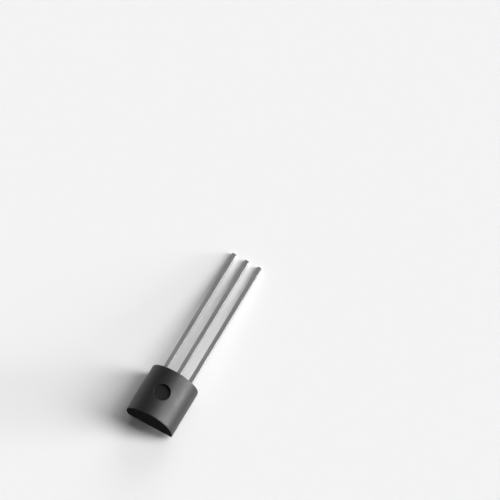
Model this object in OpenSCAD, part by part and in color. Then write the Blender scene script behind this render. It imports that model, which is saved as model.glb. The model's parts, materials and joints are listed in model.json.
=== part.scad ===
// TO-92 transistor: a moulded body with a flat face and a rounded back, three
// stamped leads, and the chip and bond wires that the body seals in.
//
// Millimetres. The pieces are drawn in the package's own axes: +X is to the
// right when the flat face is seen with the leads pointing down, +Y runs from
// the lead end to the closed end, and +Z points out of the flat face, which
// lies in the plane z = 0. at_rest() then lays the whole package down as it
// comes to rest, flat face down, on that face's edge at the lead end and on the
// tips of its leads. The origin is the middle of the bottom of its box.

/* [Body] */
// Height of the moulding, from the lead end to the closed end
body_height = 4.53; // [4.3:0.01:5.3]
// Depth of the moulding, from the flat face to the rounded back
body_depth = 3.71; // [3.3:0.01:4.1]
// Radius of the rounded back
back_radius = 2.27; // [2.2:0.01:2.5]
// How far each side draws in from the parting plane to the flat face
side_draft = 0.18; // [0.07:0.01:0.3]
// How far the closed end draws in from the parting plane to the flat face
closed_end_draft = 0.19; // [0.07:0.01:0.3]
// How far the lead end draws in from the parting plane to the flat face
lead_end_draft = 0.09; // [0.07:0.01:0.3]
// Angle by which the front of the moulding leans in at the parting line
parting_break = 1.5; // [0.5:0.1:2]
// Diameter of the ejector pin's recess in the back
recess_diameter = 1.5; // [1:0.05:2]
// Depth of the ejector pin's recess, below the crown of the back
recess_depth = 0.3; // [0.2:0.01:0.5]

/* [Leads] */
// Distance between neighbouring leads
lead_pitch = 1.27; // [1.2:0.01:1.35]
// Width of a lead
lead_width = 0.38; // [0.3:0.01:0.46]
// Thickness of the strip that the leads are stamped from
lead_thickness = 0.4; // [0.3:0.01:0.46]
// Length of a lead outside the moulding
lead_length = 12.5; // [9:0.1:16]
// Depth of the parting plane below the flat face, where the strip's face lies
parting_depth = 1.22; // [1:0.01:1.4]

/* [Stamped frame inside] */
// Width of the pad that carries the chip
pad_width = 2.16; // [1.8:0.01:2.3]
// Length of the pad along the leads
pad_length = 1.8; // [1.4:0.01:2]
// Thickness of the moulding between the pad and the closed end
pad_cover = 0.7; // [0.4:0.01:0.9]
// How far the pad and the emitter post stand out past the outer leads
pad_overhang = 0.25; // [0.1:0.01:0.35]
// Gap between the pad and the bonding posts
frame_gap = 0.35; // [0.25:0.01:0.45]
// Width of the base lead's bonding post
base_post_width = 0.8; // [0.5:0.01:1]
// Length of the base lead's bonding post
base_post_length = 0.6; // [0.4:0.01:0.8]
// Length of the emitter lead's bonding post
emitter_post_length = 1.1; // [0.8:0.01:1.4]
// Width across the wings that lock the outer leads into the moulding
wing_width = 0.74; // [0.6:0.01:0.9]
// Length of the wings along the lead
wing_length = 0.3; // [0.2:0.01:0.4]
// Distance of the wings from the lead end
wing_setback = 0.6; // [0.4:0.01:0.8]

/* [Chip and wires] */
// Side of the chip
chip_side = 0.5; // [0.3:0.01:0.7]
// Thickness of the chip
chip_thickness = 0.2; // [0.15:0.01:0.3]
// Thickness of the adhesive under the chip
attach_thickness = 0.03; // [0.02:0.01:0.05]
// How far the adhesive spreads past each side of the chip
attach_margin = 0.05; // [0.03:0.01:0.1]
// Diameter of a bond wire
wire_diameter = 0.05; // [0.03:0.01:0.06]
// Height of a wire's loop above its lower end
wire_rise = 0.35; // [0.2:0.01:0.5]
// Diameter of the ball bond on the chip
ball_diameter = 0.12; // [0.1:0.01:0.15]
// Height of the ball bond
ball_height = 0.04; // [0.03:0.01:0.06]

/* [Hidden] */
$fn = 96;
// The draft arcs are short pieces of large circles, so they take finer steps
draft_fn = 720;

// Body: places along Y and the two halves of its outline
lead_end = -lead_end_draft;
closed_end = lead_end + body_height;
flat_height = body_height - lead_end_draft - closed_end_draft;
back_centre = body_depth - back_radius;
parting_half_width = sqrt(pow(back_radius, 2) - pow(parting_depth - back_centre, 2));
// Radius of an arc that leaves the parting plane at the break angle and has
// drawn in by this much where it meets the flat face
function draft_radius(draw) = (pow(draw, 2) + pow(parting_depth, 2))
    / (2 * (draw * cos(parting_break) - parting_depth * sin(parting_break)));

// Leads: depths of the strip's two faces, and the free tips
strip_top = -parting_depth;
strip_bottom = strip_top - lead_thickness;
lead_tip = lead_end - lead_length;

// Stamped frame: edges of the pad and the posts
pad_left = -lead_pitch - lead_width / 2 - pad_overhang;
pad_right = pad_left + pad_width;
pad_top = closed_end - pad_cover;
pad_bottom = pad_top - pad_length;
base_post_top = pad_bottom - frame_gap;
emitter_post_left = pad_right + frame_gap;
emitter_post_right = lead_pitch + lead_width / 2 + pad_overhang;
emitter_post_top = (pad_top + pad_bottom + emitter_post_length) / 2;

// Chip, in the middle of the pad, and where each wire starts and ends
chip_x = (pad_left + pad_right) / 2;
chip_y = (pad_top + pad_bottom) / 2;
chip_bottom = strip_top + attach_thickness;
chip_top = chip_bottom + chip_thickness;
bond_offset = chip_side / 5;
base_bond = [chip_x + bond_offset, chip_y - bond_offset, chip_top];
base_stitch = [0, base_post_top - base_post_length / 2, strip_top];
emitter_bond = [chip_x + bond_offset, chip_y + bond_offset, chip_top];
emitter_stitch = [(emitter_post_left + emitter_post_right) / 2, chip_y, strip_top];
wire_sides = 8;
wire_steps = 10;

// Rest: the package lies face down and tips until the flat face's edge at the
// lead end and the lead tips are level. It then reaches furthest along the floor
// on the closed end's draft arc and, the other way, on the backs of the lead tips.
rest_tilt = atan(parting_depth / -lead_tip);
closed_arc = draft_radius(closed_end_draft);
rest_front = -(closed_end - closed_arc * cos(parting_break)) * cos(rest_tilt)
    + (parting_depth + closed_arc * sin(parting_break)) * sin(rest_tilt) - closed_arc;
rest_back = -lead_tip * cos(rest_tilt) - strip_bottom * sin(rest_tilt);

module at_rest() {
    translate([0, -(rest_front + rest_back) / 2, 0])
        rotate([180 - rest_tilt, 0, 0])
            children();
}

// ---- Moulded body ----

// One edge of the front half: all that lies inside the arc that runs from the
// parting plane, at this distance out, to the flat face. direction is 1 or -1.
module inside_draft(out, draw, direction) {
    arc = draft_radius(draw);
    translate([out - direction * arc * cos(parting_break), -parting_depth - arc * sin(parting_break)])
        circle(r = arc, $fn = draft_fn);
}

// Outline seen along the leads: a round back, and drafted sides in front of it
module end_outline() {
    intersection() {
        translate([0, -back_centre]) circle(r = back_radius);
        translate([-back_radius, -body_depth])
            square([2 * back_radius, body_depth - parting_depth]);
    }
    intersection() {
        translate([-parting_half_width, -parting_depth])
            square([2 * parting_half_width, parting_depth]);
        inside_draft(parting_half_width, side_draft, 1);
        inside_draft(-parting_half_width, side_draft, -1);
    }
}

// Outline seen from the side: a square back, and drafted ends in front of it
module side_outline() {
    translate([lead_end, -body_depth])
        square([body_height, body_depth - parting_depth]);
    intersection() {
        translate([lead_end, -parting_depth]) square([body_height, parting_depth]);
        inside_draft(closed_end, closed_end_draft, 1);
        inside_draft(lead_end, lead_end_draft, -1);
    }
}

module body_form() {
    intersection() {
        translate([0, closed_end, 0])
            rotate([90, 0, 0])
                linear_extrude(body_height) end_outline();
        translate([-back_radius, 0, 0])
            rotate([90, 0, 90])
                linear_extrude(2 * back_radius) side_outline();
    }
}

module ejector_recess() {
    translate([0, flat_height / 2, -body_depth - recess_depth])
        cylinder(d = recess_diameter, h = 2 * recess_depth);
}

// ---- Stamped leads ----

// A stamped piece: its outline, cut through the full thickness of the strip
module stamped() {
    translate([0, 0, strip_bottom]) linear_extrude(lead_thickness) children();
}

// The straight lead, from its tip to a place inside the moulding
module lead_strip(x, end) {
    translate([x - lead_width / 2, lead_tip]) square([lead_width, end - lead_tip]);
}

module locking_wings(x) {
    translate([x - wing_width / 2, lead_end + wing_setback])
        square([wing_width, wing_length]);
}

module collector_form() {
    stamped() {
        lead_strip(-lead_pitch, pad_top);
        locking_wings(-lead_pitch);
        translate([pad_left, pad_bottom]) square([pad_width, pad_length]);
    }
}

module base_form() {
    stamped() {
        lead_strip(0, base_post_top);
        translate([-base_post_width / 2, base_post_top - base_post_length])
            square([base_post_width, base_post_length]);
    }
}

module emitter_form() {
    stamped() {
        lead_strip(lead_pitch, emitter_post_top);
        locking_wings(lead_pitch);
        translate([emitter_post_left, emitter_post_top - emitter_post_length])
            square([emitter_post_right - emitter_post_left, emitter_post_length]);
    }
}

// ---- Chip, adhesive and bond wires ----

module attach_form() {
    side = chip_side + 2 * attach_margin;
    translate([chip_x - side / 2, chip_y - side / 2, strip_top])
        cube([side, side, attach_thickness]);
}

module chip_form() {
    translate([chip_x - chip_side / 2, chip_y - chip_side / 2, chip_bottom])
        cube([chip_side, chip_side, chip_thickness]);
}

// Place t of the way along a wire's loop, which leaves and meets the metal
// square, and the direction of the wire there in its own upright plane
function loop_point(from, to, t) =
    from + (to - from) * (1 - cos(180 * t)) / 2 + [0, 0, wire_rise * sin(180 * t)];
function loop_slope(from, to, t) =
    let (run = norm([to[0] - from[0], to[1] - from[1]]))
    atan2(2 * wire_rise * cos(180 * t) + (to[2] - from[2]) * sin(180 * t),
          run * sin(180 * t));

// Ring of points around the wire at that place
function loop_ring(from, to, t) =
    let (heading = atan2(to[1] - from[1], to[0] - from[0]),
         slope = loop_slope(from, to, t),
         across = [-sin(heading), cos(heading), 0],
         up = [-sin(slope) * cos(heading), -sin(slope) * sin(heading), cos(slope)])
    [for (k = [0 : wire_sides - 1])
        let (turn = 360 * k / wire_sides)
        loop_point(from, to, t) + (cos(turn) * across + sin(turn) * up) * wire_diameter / 2];

module wire_loop(from, to) {
    rings = [for (step = [0 : wire_steps]) loop_ring(from, to, step / wire_steps)];
    first_cap = [for (k = [0 : wire_sides - 1]) k];
    last_cap = [for (k = [wire_sides - 1 : -1 : 0]) wire_steps * wire_sides + k];
    walls = [for (step = [0 : wire_steps - 1], k = [0 : wire_sides - 1])
        let (here = step * wire_sides, next = (k + 1) % wire_sides)
        [here + k, here + wire_sides + k, here + wire_sides + next, here + next]];
    polyhedron(points = [for (ring = rings) each ring], faces = concat([first_cap, last_cap], walls));
    translate(from) cylinder(d = ball_diameter, h = ball_height, $fn = wire_sides);
}

module base_wire_form() { wire_loop(base_bond, base_stitch); }

module emitter_wire_form() { wire_loop(emitter_bond, emitter_stitch); }

// ---- Pieces ----

module moulded_body() {
    color([0.16, 0.16, 0.16]) at_rest() difference() {
        body_form();
        ejector_recess();
        collector_form();
        base_form();
        emitter_form();
        attach_form();
        chip_form();
        base_wire_form();
        emitter_wire_form();
    }
}

module collector_lead() { color([0.78, 0.78, 0.76]) at_rest() collector_form(); }

module base_lead() { color([0.78, 0.78, 0.76]) at_rest() base_form(); }

module emitter_lead() { color([0.78, 0.78, 0.76]) at_rest() emitter_form(); }

module silicon_chip() { color([0.3, 0.34, 0.42]) at_rest() chip_form(); }

module die_attach() { color([0.6, 0.6, 0.58]) at_rest() attach_form(); }

module base_bond_wire() { color([0.9, 0.72, 0.3]) at_rest() base_wire_form(); }

module emitter_bond_wire() { color([0.9, 0.72, 0.3]) at_rest() emitter_wire_form(); }

moulded_body();
collector_lead();
base_lead();
emitter_lead();
silicon_chip();
die_attach();
base_bond_wire();
emitter_bond_wire();
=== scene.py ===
import json
import math

import bmesh
import bpy
from mathutils import Matrix, Vector


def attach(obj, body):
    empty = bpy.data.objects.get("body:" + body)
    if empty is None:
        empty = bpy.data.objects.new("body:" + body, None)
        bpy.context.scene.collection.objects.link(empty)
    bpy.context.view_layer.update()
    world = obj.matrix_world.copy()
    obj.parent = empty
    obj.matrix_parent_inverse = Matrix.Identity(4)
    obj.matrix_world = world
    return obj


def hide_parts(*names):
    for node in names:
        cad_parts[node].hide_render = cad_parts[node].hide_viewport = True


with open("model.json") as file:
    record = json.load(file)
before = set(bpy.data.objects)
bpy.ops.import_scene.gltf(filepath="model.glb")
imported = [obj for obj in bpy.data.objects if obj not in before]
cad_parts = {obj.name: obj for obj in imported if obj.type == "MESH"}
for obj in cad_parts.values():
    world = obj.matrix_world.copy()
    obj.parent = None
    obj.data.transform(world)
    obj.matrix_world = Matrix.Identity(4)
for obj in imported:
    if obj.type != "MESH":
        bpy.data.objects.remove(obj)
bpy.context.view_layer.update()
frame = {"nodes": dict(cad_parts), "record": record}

# ---- Stamped leads ----
# Three leads punched from one copper alloy strip and then plated with tin: each has a
# straight leg, a broad head inside the moulding, and wings on the outer two that lock
# them there. The punch rounds their long edges, and the legs' tips are cut square.

MM = 0.001
LEAD_END_DRAFT = 0.09 * MM
LEAD_PITCH = 1.27 * MM
LEG_WIDTH = 0.38 * MM
EDGE_RADIUS = 0.010 * MM
EDGE_STEPS = 3
SHARP_LEAD_EDGE = math.radians(40)
PAD_LENGTH = 1.80 * MM
BASE_POST_LENGTH = 0.60 * MM
EMITTER_POST_LENGTH = 1.10 * MM
WING_WIDTH = 0.74 * MM
WING_LENGTH = 0.30 * MM
WING_SETBACK = 0.60 * MM

# The transistor is made in its package axes: +X to the right as the flat face is seen
# with the leads down, +Y from the leads to the closed end, and +Z out of the flat face,
# which lies at z = 0. The two mounts say how those axes lie at rest.
mounts = {mount["name"]: mount for mount in frame["record"]["mounts"]}
to_closed_end = -Vector(mounts["lead_row"]["axis"]).normalized()
out_of_flat = Vector(mounts["flat"]["axis"]).normalized()
to_the_right = to_closed_end.cross(out_of_flat)
package_axes = Matrix((to_the_right, to_closed_end, out_of_flat)).transposed()


def package_box(node, origin):
    """Lowest and highest corners of a CAD node in the package axes."""
    to_package = package_axes.inverted()
    local = [to_package @ (v.co - origin) for v in frame["nodes"][node].data.vertices]
    low = Vector([min(point[axis] for point in local) for axis in range(3)])
    high = Vector([max(point[axis] for point in local) for axis in range(3)])
    return low, high


# The origin is the middle of the flat face's edge at the lead end
flat_middle = Vector(mounts["flat"]["pos_m"])
body_reach = package_box("moulded_body", flat_middle)[0].y
origin = flat_middle + to_closed_end * (body_reach + LEAD_END_DRAFT)
package_place = Matrix.Translation(origin) @ package_axes.to_4x4()
body_low, body_high = package_box("moulded_body", origin)


def add_node(tree, kind, **settings):
    node = tree.nodes.new(kind)
    for name, value in settings.items():
        setattr(node, name, value)
    return node


def wire(tree, source, target):
    tree.links.new(source, target)


# Every finish on the transistor shows a fine grain with softer cloudy patches in it. One
# group makes both, from the place on the piece.
GRAINS_PER_PATCH = 14.0
GRAIN_DETAIL = 3.0
PATCH_DETAIL = 4.0


def make_grain_group():
    group = bpy.data.node_groups.new("Fine grain", "ShaderNodeTree")
    sockets = group.interface
    for name, side, kind in (
        ("Colour", "INPUT", "Color"),
        ("Mottling", "INPUT", "Float"),
        ("Roughness", "INPUT", "Float"),
        ("Roughness Spread", "INPUT", "Float"),
        ("Grains per Metre", "INPUT", "Float"),
        ("Stretch", "INPUT", "Vector"),
        ("Colour", "OUTPUT", "Color"),
        ("Roughness", "OUTPUT", "Float"),
        ("Height", "OUTPUT", "Float"),
    ):
        sockets.new_socket(name, in_out=side, socket_type="NodeSocket" + kind)

    given = add_node(group, "NodeGroupInput")
    made = add_node(group, "NodeGroupOutput")
    place = add_node(group, "ShaderNodeTexCoord")
    stretched = add_node(group, "ShaderNodeVectorMath", operation="MULTIPLY")
    wire(group, place.outputs["Object"], stretched.inputs[0])
    wire(group, given.outputs["Stretch"], stretched.inputs[1])

    fine = add_node(group, "ShaderNodeTexNoise")
    fine.inputs["Detail"].default_value = GRAIN_DETAIL
    wire(group, stretched.outputs[0], fine.inputs["Vector"])
    wire(group, given.outputs["Grains per Metre"], fine.inputs["Scale"])

    patch_scale = add_node(group, "ShaderNodeMath", operation="DIVIDE")
    patch_scale.inputs[1].default_value = GRAINS_PER_PATCH
    wire(group, given.outputs["Grains per Metre"], patch_scale.inputs[0])
    patches = add_node(group, "ShaderNodeTexNoise")
    patches.inputs["Detail"].default_value = PATCH_DETAIL
    wire(group, stretched.outputs[0], patches.inputs["Vector"])
    wire(group, patch_scale.outputs[0], patches.inputs["Scale"])

    both = add_node(group, "ShaderNodeMath", operation="ADD")
    wire(group, fine.outputs["Fac"], both.inputs[0])
    wire(group, patches.outputs["Fac"], both.inputs[1])
    swing = add_node(group, "ShaderNodeMath", operation="SUBTRACT")
    swing.inputs[1].default_value = 1.0
    wire(group, both.outputs[0], swing.inputs[0])

    shade = add_node(group, "ShaderNodeMath", operation="MULTIPLY_ADD")
    shade.inputs[2].default_value = 1.0
    wire(group, swing.outputs[0], shade.inputs[0])
    wire(group, given.outputs["Mottling"], shade.inputs[1])
    tinted = add_node(group, "ShaderNodeVectorMath", operation="SCALE")
    wire(group, given.outputs["Colour"], tinted.inputs[0])
    wire(group, shade.outputs[0], tinted.inputs["Scale"])

    rough = add_node(group, "ShaderNodeMath", operation="MULTIPLY_ADD")
    wire(group, swing.outputs[0], rough.inputs[0])
    wire(group, given.outputs["Roughness Spread"], rough.inputs[1])
    wire(group, given.outputs["Roughness"], rough.inputs[2])

    wire(group, tinted.outputs[0], made.inputs["Colour"])
    wire(group, rough.outputs[0], made.inputs["Roughness"])
    wire(group, fine.outputs["Fac"], made.inputs["Height"])
    return group


fine_grain = make_grain_group()


def finish(name, colour, roughness, grain, depth, mottling, spread,
           stretch=(1, 1, 1), metallic=0.0, gloss=0.5):
    """A material with its own grain.

    grain is the size of a grain and depth its height, mottling and spread say how much the
    colour and the roughness vary, and gloss is the level of the surface's reflection.
    """
    material = bpy.data.materials.new(name)
    material.use_nodes = True
    tree = material.node_tree
    shader = tree.nodes["Principled BSDF"]
    shader.inputs["Metallic"].default_value = metallic
    shader.inputs["Specular IOR Level"].default_value = gloss
    surface = add_node(tree, "ShaderNodeGroup", node_tree=fine_grain)
    surface.inputs["Colour"].default_value = (*colour, 1.0)
    surface.inputs["Mottling"].default_value = mottling
    surface.inputs["Roughness"].default_value = roughness
    surface.inputs["Roughness Spread"].default_value = spread
    surface.inputs["Grains per Metre"].default_value = 1 / grain
    surface.inputs["Stretch"].default_value = stretch
    bump = add_node(tree, "ShaderNodeBump")
    bump.inputs["Strength"].default_value = 1.0
    bump.inputs["Distance"].default_value = depth
    wire(tree, surface.outputs["Colour"], shader.inputs["Base Color"])
    wire(tree, surface.outputs["Roughness"], shader.inputs["Roughness"])
    wire(tree, surface.outputs["Height"], bump.inputs["Height"])
    wire(tree, bump.outputs["Normal"], shader.inputs["Normal"])
    return material


def bar(tree, given, part):
    """Nodes for a straight bar of the strip with rounded long edges."""
    line = add_node(tree, "GeometryNodeCurvePrimitiveLine")
    wire(tree, given[part + " Start"], line.inputs["Start"])
    wire(tree, given[part + " End"], line.inputs["End"])
    section = add_node(tree, "GeometryNodeCurvePrimitiveQuadrilateral")
    wire(tree, given[part + " Width"], section.inputs["Width"])
    wire(tree, given["Thickness"], section.inputs["Height"])
    rounded = add_node(tree, "GeometryNodeFilletCurve", mode="POLY")
    wire(tree, section.outputs["Curve"], rounded.inputs["Curve"])
    wire(tree, given["Edge Radius"], rounded.inputs["Radius"])
    rounded.inputs["Count"].default_value = EDGE_STEPS
    swept = add_node(tree, "GeometryNodeCurveToMesh")
    swept.inputs["Fill Caps"].default_value = True
    wire(tree, line.outputs["Curve"], swept.inputs["Curve"])
    wire(tree, rounded.outputs["Curve"], swept.inputs["Profile Curve"])
    return swept.outputs["Mesh"]


def make_lead_tree():
    tree = bpy.data.node_groups.new("Stamped lead", "GeometryNodeTree")
    for part in ("Leg", "Head", "Wing"):
        for name, kind in ((" Start", "Vector"), (" End", "Vector"), (" Width", "Float")):
            tree.interface.new_socket(part + name, in_out="INPUT", socket_type="NodeSocket" + kind)
    for name, kind in (
        ("Winged", "Bool"),
        ("Thickness", "Float"),
        ("Edge Radius", "Float"),
        ("Plating", "Material"),
    ):
        tree.interface.new_socket(name, in_out="INPUT", socket_type="NodeSocket" + kind)
    tree.interface.new_socket("Geometry", in_out="OUTPUT", socket_type="NodeSocketGeometry")
    given = add_node(tree, "NodeGroupInput").outputs
    made = add_node(tree, "NodeGroupOutput")

    wings = add_node(tree, "GeometryNodeSwitch", input_type="GEOMETRY")
    wire(tree, given["Winged"], wings.inputs["Switch"])
    wire(tree, bar(tree, given, "Wing"), wings.inputs["True"])
    stamped = add_node(tree, "GeometryNodeMeshBoolean", operation="UNION", solver="EXACT")
    for shape in (bar(tree, given, "Leg"), bar(tree, given, "Head"), wings.outputs["Output"]):
        wire(tree, shape, stamped.inputs["Mesh 2"])
    real = add_node(tree, "GeometryNodeRealizeInstances")
    wire(tree, stamped.outputs["Mesh"], real.inputs["Geometry"])
    plated = add_node(tree, "GeometryNodeSetMaterial")
    wire(tree, real.outputs["Geometry"], plated.inputs["Geometry"])
    wire(tree, given["Plating"], plated.inputs["Material"])
    wire(tree, plated.outputs["Geometry"], made.inputs["Geometry"])
    return tree


lead_tree = make_lead_tree()

tin_plate = finish(
    "tinned_lead",
    colour=(0.53, 0.53, 0.527),
    roughness=0.345,
    grain=0.040 * MM,
    depth=0.0010 * MM,
    mottling=0.20,
    spread=0.09,
    stretch=(1.0, 0.16, 1.0),
    metallic=1.0,
)


def baked(piece):
    """The piece with its modifiers worked into its mesh."""
    bpy.context.view_layer.update()
    evaluated = piece.evaluated_get(bpy.context.evaluated_depsgraph_get())
    mesh = bpy.data.meshes.new_from_object(evaluated)
    piece.modifiers.clear()
    piece.data = mesh
    mesh.name = piece.name
    return piece


def smoothed(piece, sharp_over):
    """The piece shaded smooth, with its flat faces kept flat and its sharp edges sharp."""
    piece.data.polygons.foreach_set("use_smooth", [True] * len(piece.data.polygons))
    piece.data.set_sharp_from_angle(angle=sharp_over)
    weighted = piece.modifiers.new("Flat faces stay flat", "WEIGHTED_NORMAL")
    weighted.keep_sharp = True
    return baked(piece)


def stamped_lead(node, leg_x, head_length, winged):
    low, high = package_box(node, origin)
    middle = (low.z + high.z) / 2
    head_x = (low.x + high.x) / 2
    wing_low = body_low.y + WING_SETBACK
    piece = bpy.data.objects.new(node + "_tinned", bpy.data.meshes.new(node + "_tinned"))
    bpy.context.scene.collection.objects.link(piece)
    stamped = piece.modifiers.new("Stamped lead", "NODES")
    stamped.node_group = lead_tree
    sockets = {item.name: item.identifier for item in lead_tree.interface.items_tree}
    for name, value in {
        "Leg Start": (leg_x, low.y, middle),
        "Leg End": (leg_x, high.y - head_length / 2, middle),
        "Leg Width": LEG_WIDTH,
        "Head Start": (head_x, high.y - head_length, middle),
        "Head End": (head_x, high.y, middle),
        "Head Width": high.x - low.x,
        "Winged": winged,
        "Wing Start": (leg_x, wing_low, middle),
        "Wing End": (leg_x, wing_low + WING_LENGTH, middle),
        "Wing Width": WING_WIDTH,
        "Thickness": high.z - low.z,
        "Edge Radius": EDGE_RADIUS,
        "Plating": tin_plate,
    }.items():
        stamped[sockets[name]] = value
    baked(piece)
    piece.data.transform(package_place)
    smoothed(piece, SHARP_LEAD_EDGE)
    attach(piece, "root")
    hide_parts(node)
    return piece


leads = [
    stamped_lead("collector_lead", -LEAD_PITCH, PAD_LENGTH, True),
    stamped_lead("base_lead", 0.0, BASE_POST_LENGTH, False),
    stamped_lead("emitter_lead", LEAD_PITCH, EMITTER_POST_LENGTH, True),
]

# ---- Chip, adhesive and bond wires ----
# The chip is sawn from a polished silicon wafer and glued to the collector's pad with
# silver-filled epoxy. Two drawn gold wires run from it to the other leads' posts.


def dress(node, material):
    """Gives a CAD node that keeps its shape its finish."""
    mesh = frame["nodes"][node].data
    mesh.materials.clear()
    mesh.materials.append(material)


dress("silicon_chip", finish(
    "silicon",
    colour=(0.20, 0.23, 0.30),
    roughness=0.16,
    grain=0.02 * MM,
    depth=0.0002 * MM,
    mottling=0.08,
    spread=0.04,
    metallic=0.6,
))
dress("die_attach", finish(
    "die_adhesive",
    colour=(0.50, 0.50, 0.48),
    roughness=0.55,
    grain=0.012 * MM,
    depth=0.002 * MM,
    mottling=0.30,
    spread=0.10,
    metallic=0.4,
))
gold = finish(
    "gold_wire",
    colour=(0.90, 0.62, 0.24),
    roughness=0.22,
    grain=0.01 * MM,
    depth=0.0003 * MM,
    mottling=0.06,
    spread=0.05,
    metallic=1.0,
)
for node in ("base_bond_wire", "emitter_bond_wire"):
    dress(node, gold)

# ---- Moulded body ----
# Silica-filled epoxy, moulded in one shot around everything above. The mould's halves
# meet at the face of the leads and leave a thin flash line: the front half is drafted
# to the flat face, and the half-round back has the dent of the pin that pushed it out.

CLOSED_END_DRAFT = 0.19 * MM
PARTING_DEPTH = 1.22 * MM
PARTING_BREAK = math.radians(1.5)
SIDE_DRAFT = 0.18 * MM
BACK_RADIUS = body_high.x
BACK_CENTRE = -body_low.z - BACK_RADIUS
CORNER_RADIUS = 0.06 * MM
RIM_RADIUS = 0.04 * MM
FLASH_HEIGHT = 0.010 * MM
FLASH_REACH = 0.022 * MM
CORNER_STEPS = 6
SIDE_STEPS = 14
BACK_STEPS = 72
RIM_STEPS = 6
LENGTH_STEPS = 25
RECESS_RADIUS = 0.75 * MM
RECESS_DEPTH = 0.30 * MM
RECESS_LIP = 0.012 * MM
RECESS_FOOT = 0.060 * MM
PATCH_REACH = 1.16 * MM
PATCH_STEPS = 7
FILLET_STEPS = 6
FLOOR_STEPS = 4
SHARP_BODY_EDGE = math.radians(20)
SAME_POINT = 1e-6 * MM

# The material slots of the body's faces
MOULDED, PIN_MARK, END_FACE = 0, 1, 2

compound = finish(
    "moulding_compound",
    colour=(0.015, 0.015, 0.015),
    roughness=0.49,
    grain=0.045 * MM,
    depth=0.0030 * MM,
    mottling=0.30,
    spread=0.20,
    stretch=(1.0, 0.6, 1.0),
)

# The same compound where it is matt, and so darker than on the satin back: in the mark of
# the ejector pin, and on the two ends. On the ends the colour is darker too, as painted shade.
pin_mark_compound = finish(
    "pin_mark_compound",
    colour=(0.018, 0.018, 0.018),
    roughness=0.80,
    grain=0.05 * MM,
    depth=0.006 * MM,
    mottling=0.40,
    spread=0.15,
    gloss=0.1,
)
# Painted shade: the ends' colour is darker than the compound's own, for the shade that falls on
# them
end_face_painted_shade = finish(
    "end_face_painted_shade",
    colour=(0.007, 0.007, 0.007),
    roughness=0.85,
    grain=0.05 * MM,
    depth=0.006 * MM,
    mottling=0.50,
    spread=0.12,
    gloss=0.03,
)

parting_half_width = math.sqrt(BACK_RADIUS**2 - (PARTING_DEPTH - BACK_CENTRE) ** 2)


class DraftArc:
    """The arc on which an edge of the front half leans in from the parting plane."""

    def __init__(self, out, draw):
        lean = draw * math.cos(PARTING_BREAK) - PARTING_DEPTH * math.sin(PARTING_BREAK)
        self.radius = (draw**2 + PARTING_DEPTH**2) / (2 * lean)
        self.centre = out - self.radius * math.cos(PARTING_BREAK)
        self.level = -PARTING_DEPTH - self.radius * math.sin(PARTING_BREAK)

    def reach(self, z):
        """How far out the edge stands at height z, behind the parting plane too."""
        z = max(z, -PARTING_DEPTH)
        return self.centre + math.sqrt(self.radius**2 - (z - self.level) ** 2)


side_arc = DraftArc(parting_half_width, SIDE_DRAFT)
closed_arc = DraftArc(body_high.y, CLOSED_END_DRAFT)
lead_arc = DraftArc(-body_low.y, LEAD_END_DRAFT)


def flash(z):
    """How far the flash line stands out at height z."""
    return FLASH_HEIGHT * max(0.0, 1 - abs(z + PARTING_DEPTH) / FLASH_REACH)


def half_outline():
    """Points and outward normals, as (x, z), from the flat face round to the crown."""
    found = []

    def add(x, z, angle):
        proud = flash(z)
        normal = (math.cos(angle), math.sin(angle))
        found.append(((x + proud * normal[0], z + proud * normal[1]), normal))

    corner_z = -CORNER_RADIUS
    inner = side_arc.radius - CORNER_RADIUS
    turn = math.asin((corner_z - side_arc.level) / inner)
    corner_x = side_arc.centre + inner * math.cos(turn)
    for step in range(CORNER_STEPS + 1):
        angle = math.pi / 2 + (turn - math.pi / 2) * step / CORNER_STEPS
        across = CORNER_RADIUS * math.cos(angle)
        add(corner_x + across, corner_z + CORNER_RADIUS * math.sin(angle), angle)
    flash_top = math.asin((FLASH_REACH - PARTING_DEPTH - side_arc.level) / side_arc.radius)
    for step in range(1, SIDE_STEPS + 1):
        angle = turn + (flash_top - turn) * step / SIDE_STEPS
        level = side_arc.level + side_arc.radius * math.sin(angle)
        add(side_arc.reach(level), level, angle)
    add(parting_half_width, -PARTING_DEPTH, PARTING_BREAK)
    start = math.asin((BACK_CENTRE - PARTING_DEPTH - FLASH_REACH) / BACK_RADIUS)
    for step in range(BACK_STEPS + 1):
        angle = start + (-math.pi / 2 - start) * step / BACK_STEPS
        level = -BACK_CENTRE + BACK_RADIUS * math.sin(angle)
        add(BACK_RADIUS * math.cos(angle), level, angle)
    return found


def back_surface(x):
    return -BACK_CENTRE - math.sqrt(BACK_RADIUS**2 - x**2)


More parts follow.
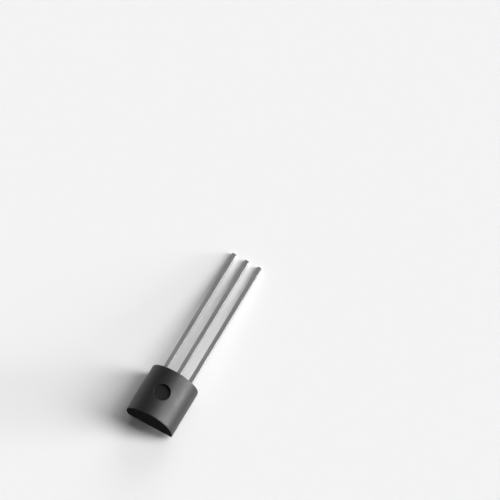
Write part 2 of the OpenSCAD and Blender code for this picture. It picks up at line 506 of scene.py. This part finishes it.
def sink_recess(skin, edge, middle):
    """Fills the gap that edge goes round with the back's surface and the sunk recess."""
    bottom = body_low.z + RECESS_DEPTH
    turns = [math.pi / 2 * step / FILLET_STEPS for step in range(FILLET_STEPS + 1)]
    lip_rings = [
        (RECESS_RADIUS + RECESS_LIP * (1 - math.sin(turn)), RECESS_LIP * (1 - math.cos(turn)))
        for turn in turns
    ]
    floor_rings = [
        (RECESS_RADIUS - RECESS_FOOT * (1 - math.cos(turn)), RECESS_FOOT * (1 - math.sin(turn)))
        for turn in turns
    ]
    floor_radius = RECESS_RADIUS - RECESS_FOOT
    for step in range(FLOOR_STEPS - 1, 0, -1):
        floor_rings.append((floor_radius * step / FLOOR_STEPS, 0.0))
    bearings = [math.atan2(v.co.y - middle, v.co.x) for v in edge]
    outer = edge

    def circle(radius):
        return [(radius * math.cos(turn), middle + radius * math.sin(turn)) for turn in bearings]

    def next_ring(places, slot=MOULDED):
        nonlocal outer
        inner = [skin.verts.new(place) for place in places]
        for i in range(len(edge)):
            after = (i + 1) % len(edge)
            face = skin.faces.new((outer[i], outer[after], inner[after], inner[i]))
            face.material_index = slot
        outer = inner

    lip = circle(RECESS_RADIUS + RECESS_LIP)
    for step in range(1, PATCH_STEPS):
        share = step / PATCH_STEPS
        between = [
            (v.co.x * (1 - share) + x * share, v.co.y * (1 - share) + y * share)
            for v, (x, y) in zip(edge, lip)
        ]
        next_ring([(x, y, back_surface(x)) for x, y in between])
    for radius, sunk in lip_rings:
        next_ring([(x, y, back_surface(x) + sunk) for x, y in circle(radius)])
    for radius, raised in floor_rings:
        next_ring([(x, y, bottom - raised) for x, y in circle(radius)], PIN_MARK)
    centre = skin.verts.new((0, middle, bottom))
    for i in range(len(edge)):
        face = skin.faces.new((outer[i], outer[(i + 1) % len(edge)], centre))
        face.material_index = PIN_MARK


def body_skin():
    """The outside of the moulding: rings round it from the lead end to the closed end."""
    half = half_outline()
    skin = bmesh.new()
    rims = [math.pi / 2 * step / RIM_STEPS for step in range(RIM_STEPS + 1)]
    stations = [(-1, turn) for turn in rims]
    stations += [(0, step / LENGTH_STEPS) for step in range(1, LENGTH_STEPS)]
    stations += [(1, turn) for turn in reversed(rims)]

    def ring(end, amount):
        rights, lefts = [], []
        for (x, z), (nx, nz) in half:
            inset = RIM_RADIUS * (1 - math.sin(amount)) if end else 0.0
            px = max(x - inset * nx, 0.0)
            pz = z - inset * nz
            low_end = -(lead_arc.reach(pz) + flash(pz))
            high_end = closed_arc.reach(pz) + flash(pz)
            if end:
                drop = RIM_RADIUS * (1 - math.cos(amount))
                y = low_end + drop if end < 0 else high_end - drop
            else:
                y = low_end + RIM_RADIUS + (high_end - low_end - 2 * RIM_RADIUS) * amount
            rights.append(skin.verts.new((px, y, pz)))
            lefts.append(skin.verts.new((-px, y, pz)) if px > SAME_POINT else rights[-1])
        return rights, lefts

    rings = [ring(end, amount) for end, amount in stations]
    crown = len(half) - 1

    # The recess' patch takes the place of the faces within its reach
    middle = (body_high.y - CLOSED_END_DRAFT) / 2
    inside = [
        j for j, (rights, _) in enumerate(rings)
        if abs(rights[crown].co.y - middle) < PATCH_REACH
    ]
    first, last = inside[0], inside[-1]
    side = min(
        i for i, ((x, z), _) in enumerate(half)
        if x < PATCH_REACH and z < -PARTING_DEPTH
    )
    for j, ((r0, l0), (r1, l1)) in enumerate(zip(rings, rings[1:])):
        for i in range(crown):
            if i < side or not first <= j < last:
                skin.faces.new((r0[i], r0[i + 1], r1[i + 1], r1[i]))
                skin.faces.new((l0[i], l1[i], l1[i + 1], l0[i + 1]))
        skin.faces.new((l0[0], r0[0], r1[0], l1[0]))
    for rights, lefts in (rings[0], rings[-1]):
        for i in range(crown):
            row = [rights[i], rights[i + 1], lefts[i + 1], lefts[i]]
            skin.faces.new(list(dict.fromkeys(row))).material_index = END_FACE

    edge = [rings[j][0][side] for j in range(first, last)]
    edge += rings[last][0][side:crown] + rings[last][1][crown:side:-1]
    edge += [rings[j][1][side] for j in range(last, first, -1)]
    edge += rings[first][1][side:crown] + rings[first][0][crown:side:-1]
    sink_recess(skin, edge, middle)
    bmesh.ops.delete(skin, geom=[v for v in skin.verts if not v.link_faces], context="VERTS")
    bmesh.ops.recalc_face_normals(skin, faces=skin.faces)
    mesh = bpy.data.meshes.new("moulded_body_skin")
    for material in (compound, pin_mark_compound, end_face_painted_shade):
        mesh.materials.append(material)
    skin.to_mesh(mesh)
    skin.free()
    return mesh


def cut(piece, tool):
    boolean = piece.modifiers.new("Cut by " + tool.name, "BOOLEAN")
    boolean.operation = "DIFFERENCE"
    boolean.solver = "EXACT"
    boolean.object = tool


def linked(name, mesh):
    """A new object for a mesh made in package axes, laid down in its place."""
    mesh.transform(package_place)
    piece = bpy.data.objects.new(name, mesh)
    bpy.context.scene.collection.objects.link(piece)
    return piece


body = linked("moulded_body_skin", body_skin())
for lead in leads:
    cut(body, lead)
baked(body)
smoothed(body, SHARP_BODY_EDGE)
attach(body, "root")
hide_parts("moulded_body")

# ---- Numbers on the flat face ----
# White ink, printed on the moulding with a soft pad and baked dry, where it stands a
# little proud. Each lead's number is above the root of its lead.

INK_HEIGHT = 0.82 * MM
INK_BASE = 0.78 * MM
INK_THICKNESS = 0.006 * MM
INK_MERGE = 0.0005 * MM

ink = finish(
    "marking_ink",
    colour=(0.82, 0.82, 0.80),
    roughness=0.55,
    grain=0.03 * MM,
    depth=0.001 * MM,
    mottling=0.10,
    spread=0.05,
)


def printed_number(text, x):
    """A number as a mesh in package axes, with the ink's thickness."""
    curve = bpy.data.curves.new("number_" + text, "FONT")
    curve.body = text
    curve.align_x = "CENTER"
    curve.extrude = 1.0
    shown = bpy.data.objects.new(curve.name, curve)
    bpy.context.scene.collection.objects.link(shown)
    bpy.context.view_layer.update()
    mesh = bpy.data.meshes.new_from_object(
        shown.evaluated_get(bpy.context.evaluated_depsgraph_get())
    )
    bpy.data.objects.remove(shown)
    low = min(v.co.y for v in mesh.vertices)
    size = INK_HEIGHT / (max(v.co.y for v in mesh.vertices) - low)
    for v in mesh.vertices:
        up = INK_BASE + (v.co.y - low) * size
        v.co = (x + v.co.x * size, up, INK_THICKNESS / 2 * (1 + v.co.z))
    return mesh


joined = bmesh.new()
for text, x in (("1", -LEAD_PITCH), ("2", 0.0), ("3", LEAD_PITCH)):
    joined.from_mesh(printed_number(text, x))
bmesh.ops.remove_doubles(joined, verts=joined.verts, dist=INK_MERGE)
number_mesh = bpy.data.meshes.new("lead_numbers")
joined.to_mesh(number_mesh)
joined.free()
numbers = linked("lead_numbers", number_mesh)
numbers.data.materials.clear()
numbers.data.materials.append(ink)
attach(numbers, "root")

# ---- Floor and light ----
# A wide pale table under a dim ceiling that is a little brighter beyond the leads' tips,
# with a pale band round it at the height of the table. Five soft lamps stand far off on
# the right, one above the other, and a sixth beyond the leads' tips.

FLOOR_SIZE = 12.0
FLOOR_COLOUR = (0.93, 0.93, 0.93, 1.0)
FLOOR_ROUGHNESS = 0.9
# The band's brightness, and the elevations in degrees where it begins to fade and is gone
HORIZON = 0.90
BAND_FULL = 2
BAND_END = 10
CEILING = 0.10
CEILING_SLOPE = 0.05
# Each lamp's azimuth, elevation and width as seen from the table, in degrees, and radiance
LAMPS = {
    "right_1": (28, 3, 16, 64.0),
    "right_2": (18, 15, 18, 6.8),
    "right_3": (22, 32, 22, 12.6),
    "right_4": (30, 50, 22, 10.1),
    "right_5": (48, 63, 20, 4.1),
    "behind_tips": (95, 28, 40, 1.9),
}

floor_mesh = bpy.data.meshes.new("floor")
edge = FLOOR_SIZE / 2
corners = [(-edge, -edge, 0), (edge, -edge, 0), (edge, edge, 0), (-edge, edge, 0)]
floor_mesh.from_pydata(corners, [], [(0, 1, 2, 3)])
floor = bpy.data.objects.new("floor", floor_mesh)
bpy.context.scene.collection.objects.link(floor)
floor_paint = bpy.data.materials.new("floor_paint")
floor_paint.use_nodes = True
floor_shader = floor_paint.node_tree.nodes["Principled BSDF"]
floor_shader.inputs["Base Color"].default_value = FLOOR_COLOUR
floor_shader.inputs["Roughness"].default_value = FLOOR_ROUGHNESS
floor_shader.inputs["Specular IOR Level"].default_value = 0.0
floor.data.materials.append(floor_paint)

world = bpy.data.worlds.new("studio")
bpy.context.scene.world = world
world.use_nodes = True
sky = world.node_tree
direction = add_node(sky, "ShaderNodeTexCoord")
parts = add_node(sky, "ShaderNodeSeparateXYZ")
wire(sky, direction.outputs["Generated"], parts.inputs[0])
fade = add_node(sky, "ShaderNodeMapRange", interpolation_type="SMOOTHSTEP")
fade.inputs["From Min"].default_value = math.sin(math.radians(BAND_FULL))
fade.inputs["From Max"].default_value = math.sin(math.radians(BAND_END))
fade.inputs["To Min"].default_value = HORIZON
wire(sky, parts.outputs["Z"], fade.inputs["Value"])
ceiling = add_node(sky, "ShaderNodeMath", operation="MULTIPLY_ADD")
ceiling.inputs[1].default_value = CEILING_SLOPE
ceiling.inputs[2].default_value = CEILING
wire(sky, parts.outputs["Y"], ceiling.inputs[0])
wire(sky, ceiling.outputs[0], fade.inputs["To Max"])
wire(sky, fade.outputs["Result"], sky.nodes["Background"].inputs["Strength"])
sky.nodes["Background"].inputs["Color"].default_value = (1, 1, 1, 1)

for name, (azimuth, elevation, width, radiance) in LAMPS.items():
    lamp = bpy.data.lights.new(name, "SUN")
    lamp.angle = math.radians(width)
    # What a disc of that width and radiance gives
    lamp.energy = radiance * math.pi * math.sin(lamp.angle / 2) ** 2
    toward = Vector((1, 0, math.tan(math.radians(elevation))))
    toward.rotate(Matrix.Rotation(math.radians(azimuth), 3, "Z"))
    shown = bpy.data.objects.new(name, lamp)
    bpy.context.scene.collection.objects.link(shown)
    shown.rotation_euler = toward.to_track_quat("Z", "Y").to_euler()

# ---- Camera ----
# A long lens, far off and high over the closed end and a little to its right. It is
# rolled so that the leads run up and to the right in its frame.

LENS = 1000.0
FRAME_WIDTH = 43.374 * MM
# The camera's right and up, and where the package's origin lies from the frame's middle
CAMERA_RIGHT = Vector((0.8668, 0.4952, -0.0591))
CAMERA_UP = Vector((-0.4676, 0.8480, 0.2493))
PACKAGE_RIGHT = -6.5027 * MM
PACKAGE_UP = -11.7663 * MM

camera_data = bpy.data.cameras.new("camera")
camera_data.lens = LENS
camera = bpy.data.objects.new("camera", camera_data)
bpy.context.scene.collection.objects.link(camera)
bpy.context.scene.camera = camera
right = CAMERA_RIGHT.normalized()
back = right.cross(CAMERA_UP).normalized()
up = back.cross(right)
away = FRAME_WIDTH * LENS / camera_data.sensor_width
aim = origin - right * PACKAGE_RIGHT - up * PACKAGE_UP
turned = Matrix((right, up, back)).transposed().to_4x4()
camera.matrix_world = Matrix.Translation(aim + back * away) @ turned
camera_data.clip_start = away / 10
camera_data.clip_end = away * 10

bpy.context.scene.view_settings.view_transform = "Standard"
